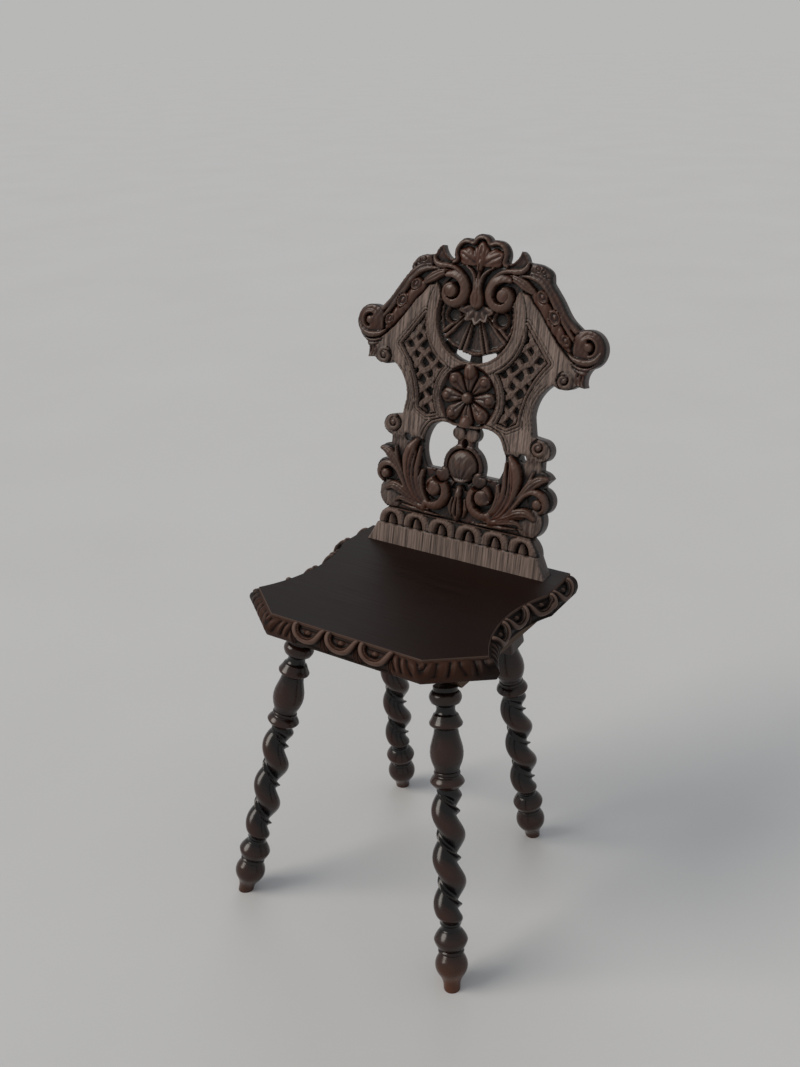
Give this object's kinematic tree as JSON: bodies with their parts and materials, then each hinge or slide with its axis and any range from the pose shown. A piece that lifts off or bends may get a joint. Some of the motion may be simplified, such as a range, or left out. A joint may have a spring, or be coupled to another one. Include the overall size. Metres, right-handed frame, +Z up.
{
  "type": "carved board chair",
  "caption": "Carved oak board chair: waisted plank seat with a carved edge, splayed twist-turned legs and a raked back pierced and carved with scrolls, shell, rosette and lattice.",
  "frame": {"origin": "on the floor, under the middle of the chair's box", "axes": "+Z up, +Y towards the back, +X to the right of someone facing the chair"},
  "size_m": [0.3924, 0.4166, 0.8841],
  "materials": {
    "seat_oak": "dark stained, waxed to a sheen",
    "carved_oak": "dark stained, worn satin",
    "turned_oak": "dark stained, polished",
    "batten_oak": "raw, sawn"
  },
  "bodies": {
    "root": {"seat_board": "seat_oak", "back_board": "carved_oak", "batten_left": "batten_oak", "key_left": "batten_oak", "pin_left": "batten_oak", "leg_front_left": "turned_oak", "wedge_front_left": "batten_oak", "leg_rear_left": "turned_oak", "wedge_rear_left": "batten_oak", "batten_right": "batten_oak", "key_right": "batten_oak", "pin_right": "batten_oak", "leg_front_right": "turned_oak", "wedge_front_right": "batten_oak", "leg_rear_right": "turned_oak", "wedge_rear_right": "batten_oak"}
  },
  "joints": []
}
